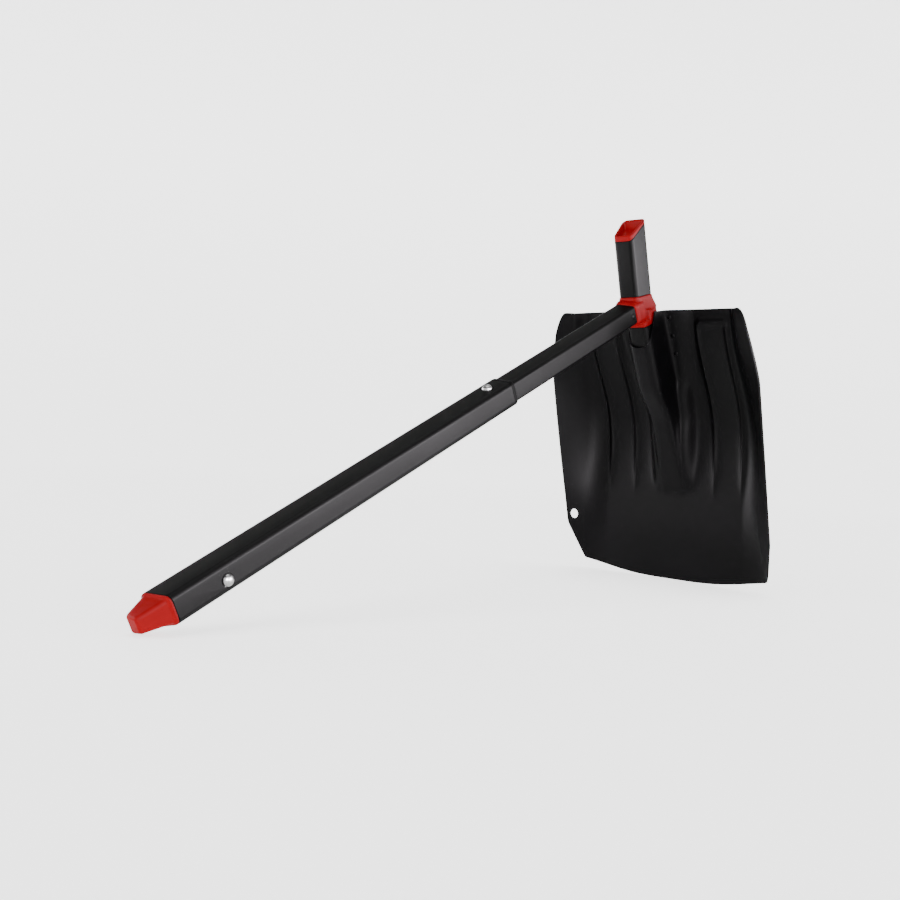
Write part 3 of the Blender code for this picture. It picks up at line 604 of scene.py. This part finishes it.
def make_rivets(socket, shaft, coated, black):
    """Nearly flush rivets on the socket plate, and blind rivets where the shaft meets the hub."""
    grip = SHEET + PLATE + GAP
    profile = [(0.0, 1.0), (1.6, 0.98), (2.1, 0.8), (2.4, 0.5), (2.5, GAP), (2.0, GAP),
               (2.0, -grip - GAP), (2.7, -grip - GAP), (2.6, -grip - 1.0), (2.2, -grip - 1.4),
               (0.0, -grip - 1.5)]
    for row, z in enumerate(RIVET_HEIGHTS):
        for side, word in ((-1, "left"), (1, "right")):
            place = at_place(socket, (side * RIVET_X, SHOULDER, z), (0, -1, 0))
            rivet = turned("rivet", profile, place, 28)
            finish_piece(rivet, "blade", f"socket_rivet_{word}_{row + 1}", coated)
    profile = [(0.0, 1.1), (0.8, 1.05), (1.6, 0.85), (2.3, 0.6), (2.8, GAP), (1.6, GAP),
               (1.6, -7.0), (0.0, -7.4)]
    surface = DEPTH - WALL - SLIDE
    for side, word in ((-1, "right"), (1, "left")):
        place = at_place(shaft, (0.0, side * surface, HUB_RIVET_AT), (0, side, 0))
        rivet = turned("rivet", profile, place, 28)
        finish_piece(rivet, "handle", "hub_rivet_" + word, black)


def copy_node(frame, node):
    """A free copy of a CAD node's mesh, to be refined."""
    obj = bpy.data.objects.new(node + "_copy", frame["nodes"][node].data.copy())
    bpy.context.scene.collection.objects.link(obj)
    return obj


def make_hub(frame, material):
    hub = mould(copy_node(frame, "grip_hub"), 0.55, 6)
    finish_piece(hub, "handle", "grip_hub", material, sharp=60.0)


def make_arms(arm, socket, black, red):
    tube = pipe("tube", tube_rings(square_mouth(HUB_TOP + GAP), arm_seat), arm)
    finish_piece(tube, "handle", "upper_arm_tube", black)

    spigot = WALL + GAP
    rings = [at_height(tube_outline(spigot), 54.0), arm_seat(spigot, GAP),
             arm_seat(0.35, GAP), arm_seat(0.0, GAP + 0.35), arm_mouth(0.0, 1.1),
             arm_mouth(0.12, 0.6), arm_mouth(0.45, 0.2), arm_mouth(0.95, 0.0), arm_mouth(1.7, 0.05),
             arm_mouth(2.3, 0.4), arm_mouth(2.7, 1.2), arm_mouth(3.6, 6.0), arm_mouth(4.6, 7.6),
             arm_mouth(6.5, 8.2)]
    cap = loft("cap", rings, arm)
    finish_piece(cap, "handle", "upper_arm_cap", red, sharp=50.0)

    tube = pipe("tube", tube_rings(square_mouth(ARM_FOOT), square_mouth(HUB_FOOT - GAP)), socket)
    place = (-side_wall_half(HOE_BUTTON_BACK), HOE_BUTTON_BACK, HOE_BUTTON_AT)
    carve(tube, [rod(BUTTON_HOLE, 10.0, socket, place, side_normal(-1))])
    finish_piece(tube, "handle", "lower_arm_tube", black)


def make_shaft(shaft, black, plastic):
    shrink = WALL + SLIDE
    start = HUB_FRONT + 1.0 + GAP
    end = SHAFT_STEP + OVERLAP
    inner = pipe("tube", tube_rings(square_mouth(start), square_mouth(end), shrink), shaft)
    place = (side_wall_half(0.0), 0.0, EXTENSION_AT)
    carve(inner, [rod(BUTTON_HOLE, 12.0, shaft, place, side_normal(1))])
    finish_piece(inner, "handle", "inner_shaft_tube", black)

    outer = pipe("tube", tube_rings(square_mouth(SHAFT_STEP + COLLAR + GAP), shaft_mouth), shaft)
    side_place = (-SHAFT_BUTTON_DOWN, -DEPTH, SHAFT_BUTTON_AT)
    carve(outer, [rod(BUTTON_HOLE, 8.0, shaft, place, side_normal(1)),
                  rod(BUTTON_HOLE, 8.0, shaft, side_place, (0, 1, 0))])
    finish_piece(outer, "outer_shaft", "outer_shaft_tube", black)

    bore = WALL + 0.05
    section = ((0.9, 0.0), (0.5, 0.3), (0.2, 1.0), (0.05, 2.2), (0.0, COLLAR), (bore, COLLAR), (bore, 0.0))
    rings = [at_height(tube_outline(shrink), SHAFT_STEP + z) for shrink, z in section]
    collar = pipe("collar", rings, shaft)
    finish_piece(collar, "outer_shaft", "shaft_collar", plastic)


def make_plugs(frame, red):
    for node, body in (("end_plug", "outer_shaft"), ("lower_arm_plug", "handle")):
        plug = mould(copy_node(frame, node), 0.5, 2)
        finish_piece(plug, body, node, red, sharp=60.0)


def button_profile(through, flange):
    seat = -through - GAP
    dome = []
    for k in range(1, 11):
        angle = math.pi / 2.0 * k / 10.0
        dome.append((BUTTON_R * math.sin(angle), BUTTON_PROUD * math.cos(angle)))
    shank = [(BUTTON_R, seat), (flange, seat), (flange, seat - 1.0), (0.0, seat - 1.0)]
    return [(0.0, BUTTON_PROUD)] + dome + shank


def make_buttons(socket, shaft, material):
    top = (side_wall_half(0.0), 0.0, EXTENSION_AT)
    profile = button_profile(2.0 * WALL + SLIDE, 6.2)
    button = turned("button", profile, at_place(shaft, top, side_normal(1)))
    finish_piece(button, "extension_button", "extension_button", material)
    side = (-SHAFT_BUTTON_DOWN, -DEPTH, SHAFT_BUTTON_AT)
    button = turned("button", button_profile(WALL + 0.5, 5.6), at_place(shaft, side, (0, -1, 0)))
    finish_piece(button, "shaft_button", "shaft_button", material)
    normal = side_normal(-1)
    cover = SOCKET_FIT + SHEET
    place = Vector((-side_wall_half(HOE_BUTTON_BACK), HOE_BUTTON_BACK, HOE_BUTTON_AT)) + normal * cover
    button = turned("button", button_profile(cover + WALL, 6.2), at_place(socket, place, normal))
    finish_piece(button, "hoe_button", "hoe_button", material)


# ---------------------------------------------------------------- materials

def principled(name, color, roughness, metallic, specular=0.5):
    material = bpy.data.materials.new(name)
    material.use_nodes = True
    shader = material.node_tree.nodes["Principled BSDF"]
    shader.inputs["Base Color"].default_value = (*color, 1.0)
    shader.inputs["Roughness"].default_value = roughness
    shader.inputs["Metallic"].default_value = metallic
    shader.inputs["Specular IOR Level"].default_value = specular
    return material, material.node_tree.nodes, material.node_tree.links, shader


def noise_node(nodes, links, scale, detail=4.0, stretch=(1.0, 1.0, 1.0)):
    """Noise over object coordinates, its scale in features per metre."""
    coords = nodes.new("ShaderNodeTexCoord")
    mapping = nodes.new("ShaderNodeMapping")
    mapping.inputs["Scale"].default_value = stretch
    noise = nodes.new("ShaderNodeTexNoise")
    noise.inputs["Scale"].default_value = scale
    noise.inputs["Detail"].default_value = detail
    links.new(coords.outputs["Object"], mapping.inputs["Vector"])
    links.new(mapping.outputs["Vector"], noise.inputs["Vector"])
    return noise.outputs["Fac"]


def ramp_between(nodes, links, value, low, high, start=0.35, end=0.65):
    """A number that goes from low to high as another one goes from start to end."""
    spread = nodes.new("ShaderNodeMapRange")
    spread.inputs["From Min"].default_value = start
    spread.inputs["From Max"].default_value = end
    spread.inputs["To Min"].default_value = low
    spread.inputs["To Max"].default_value = high
    links.new(value, spread.inputs["Value"])
    return spread.outputs["Result"]


def mix_colors(nodes, links, value, first, second):
    mix = nodes.new("ShaderNodeMix")
    mix.data_type = "RGBA"
    mix.inputs["A"].default_value = (*first, 1.0)
    mix.inputs["B"].default_value = (*second, 1.0)
    links.new(value, mix.inputs["Factor"])
    return mix.outputs["Result"]


def add_bump(nodes, links, shader, height, distance, strength=1.0):
    bump = nodes.new("ShaderNodeBump")
    bump.inputs["Distance"].default_value = distance
    bump.inputs["Strength"].default_value = strength
    links.new(height, bump.inputs["Height"])
    links.new(bump.outputs["Normal"], shader.inputs["Normal"])


def anodised_material():
    material, nodes, links, shader = principled("anodised_black", (0.0006, 0.0006, 0.0006), 0.42, 0.0, 0.05)
    grain = noise_node(nodes, links, 900.0, 6.0)
    patch = noise_node(nodes, links, 14.0, 3.0)
    spread = ramp_between(nodes, links, patch, 0.0, 1.0)
    tone = mix_colors(nodes, links, spread, (0.0004, 0.0004, 0.0004), (0.0008, 0.0008, 0.0008))
    links.new(tone, shader.inputs["Base Color"])
    links.new(ramp_between(nodes, links, patch, 0.4, 0.46), shader.inputs["Roughness"])
    add_bump(nodes, links, shader, grain, 0.00002)
    return material


def blade_material():
    material, nodes, links, shader = principled("blade_black", (0.0006, 0.0005, 0.0007), 0.4, 0.0, 0.05)
    grain = noise_node(nodes, links, 700.0, 6.0)
    patch = noise_node(nodes, links, 9.0, 4.0)
    spread = ramp_between(nodes, links, patch, 0.0, 1.0)
    tone = mix_colors(nodes, links, spread, (0.0004, 0.0004, 0.0005), (0.0009, 0.0007, 0.0011))
    links.new(tone, shader.inputs["Base Color"])
    links.new(ramp_between(nodes, links, patch, 0.37, 0.43), shader.inputs["Roughness"])
    add_bump(nodes, links, shader, grain, 0.00003)
    return material


def red_material():
    material, nodes, links, shader = principled("red_plastic", (0.18, 0.0008, 0.002), 0.45, 0.0, 0.04)
    grain = noise_node(nodes, links, 1400.0, 3.0)
    patch = noise_node(nodes, links, 60.0, 3.0)
    spread = ramp_between(nodes, links, patch, 0.0, 1.0)
    tone = mix_colors(nodes, links, spread, (0.17, 0.0007, 0.0018), (0.19, 0.0009, 0.0024))
    links.new(tone, shader.inputs["Base Color"])
    links.new(ramp_between(nodes, links, grain, 0.42, 0.54), shader.inputs["Roughness"])
    add_bump(nodes, links, shader, grain, 0.00003)
    return material


def plastic_material():
    material, nodes, links, shader = principled("black_plastic", (0.0006, 0.0006, 0.0006), 0.5, 0.0, 0.04)
    grain = noise_node(nodes, links, 1200.0, 3.0)
    links.new(ramp_between(nodes, links, grain, 0.45, 0.6), shader.inputs["Roughness"])
    add_bump(nodes, links, shader, grain, 0.00002)
    return material


def steel_material(name, color, roughness):
    material, nodes, links, shader = principled(name, color, roughness, 1.0)
    streaks = noise_node(nodes, links, 600.0, 4.0, (1.0, 1.0, 6.0))
    spread = ramp_between(nodes, links, streaks, roughness - 0.06, roughness + 0.08)
    links.new(spread, shader.inputs["Roughness"])
    add_bump(nodes, links, shader, streaks, 0.00001)
    return material


# ---------------------------------------------------------------- stage

def make_floor():
    """A pale round floor that curves up into a wall, so that no horizon shows from any side."""
    profile = [(0.001, 0.0), (STAGE_RADIUS, 0.0)]
    for k in range(1, 13):
        angle = math.pi / 2.0 * k / 12.0
        rise = STAGE_CURVE * (1.0 - math.cos(angle))
        profile.append((STAGE_RADIUS + STAGE_CURVE * math.sin(angle), rise))
    profile.append((STAGE_RADIUS + STAGE_CURVE, STAGE_HEIGHT))
    steps = 72
    points = []
    for radius, height in profile:
        for i in range(steps):
            angle = 2.0 * math.pi * i / steps
            points.append((radius * math.cos(angle), radius * math.sin(angle), height))
    faces = [tuple(range(steps))]
    for k in range(len(profile) - 1):
        for i in range(steps):
            j = (i + 1) % steps
            faces.append((k * steps + i, k * steps + j, (k + 1) * steps + j, (k + 1) * steps + i))
    mesh = bpy.data.meshes.new("floor")
    mesh.from_pydata(points, [], faces)
    mesh.shade_smooth()
    floor = bpy.data.objects.new("floor", mesh)
    bpy.context.scene.collection.objects.link(floor)
    floor.location.z = -0.0005
    material, _, _, shader = principled("floor", (0.85, 0.85, 0.85), 0.9, 0.0, 0.1)
    shader.inputs["Emission Color"].default_value = (1.0, 1.0, 1.0, 1.0)
    shader.inputs["Emission Strength"].default_value = 1.7
    mesh.materials.append(material)


def area_light(name, location, target, size, power, color=(1.0, 1.0, 1.0)):
    data = bpy.data.lights.new(name, "AREA")
    data.shape = "RECTANGLE"
    data.size, data.size_y = size
    data.energy = power
    data.color = color
    light = bpy.data.objects.new(name, data)
    bpy.context.scene.collection.objects.link(light)
    light.location = location
    light.rotation_euler = (Vector(target) - Vector(location)).to_track_quat("-Z", "Y").to_euler()
    return light


def make_world(strength):
    world = bpy.data.worlds.new("studio")
    bpy.context.scene.world = world
    world.use_nodes = True
    background = world.node_tree.nodes["Background"]
    background.inputs["Color"].default_value = (1.0, 1.0, 1.0, 1.0)
    background.inputs["Strength"].default_value = strength


def make_camera(level):
    """The camera, from its place relative to the level shaft."""
    data = bpy.data.cameras.new("camera")
    data.lens = CAMERA_LENS
    data.sensor_width = 36.0
    data.clip_start = 0.05
    camera = bpy.data.objects.new("camera", data)
    bpy.context.scene.collection.objects.link(camera)
    back = -(level.to_3x3() @ Vector(CAMERA_AXIS)).normalized()
    up = level.to_3x3() @ Vector(CAMERA_UP)
    right = up.cross(back).normalized()
    up = back.cross(right)
    turn = Matrix((right, up, back)).transposed().to_4x4()
    camera.matrix_world = Matrix.Translation(level @ (Vector(CAMERA_AT) * MM)) @ turn
    bpy.context.scene.camera = camera


def main():
    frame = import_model()
    frames = Frames(frame["record"], frame["joints"])
    arm, socket, shaft = frames.arm, frames.socket, frames.shaft
    make_camera(frames.level)

    black = anodised_material()
    coated = blade_material()
    red = red_material()
    plastic = plastic_material()
    steel = steel_material("button_steel", (0.22, 0.22, 0.22), 0.3)
    spring = steel_material("spring_steel", (0.35, 0.35, 0.36), 0.35)

    make_blade(arm, socket, coated)
    make_socket_plate(socket, coated)
    make_rivets(socket, shaft, coated, black)
    make_hub(frame, red)
    make_arms(arm, socket, black, red)
    make_shaft(shaft, black, plastic)
    make_plugs(frame, red)
    make_buttons(socket, shaft, steel)
    for node, material in (("guide_bushing", plastic), ("extension_spring", spring),
                           ("shaft_spring", spring), ("hoe_spring", spring)):
        frame["nodes"][node].data.materials.clear()
        frame["nodes"][node].data.materials.append(material)

    make_floor()
    make_world(0.15)
    area_light("overhead", (0.0, 0.0, 2.9), (0.0, 0.0, 0.0), (2.0, 2.0), 60.0)
    for name, location, power in STRIPS:
        strip = area_light(name, location, (0.0, -0.1, 0.15), (1.3, 0.6), power, (1.0, 0.95, 1.0))
        strip.visible_diffuse = False


main()
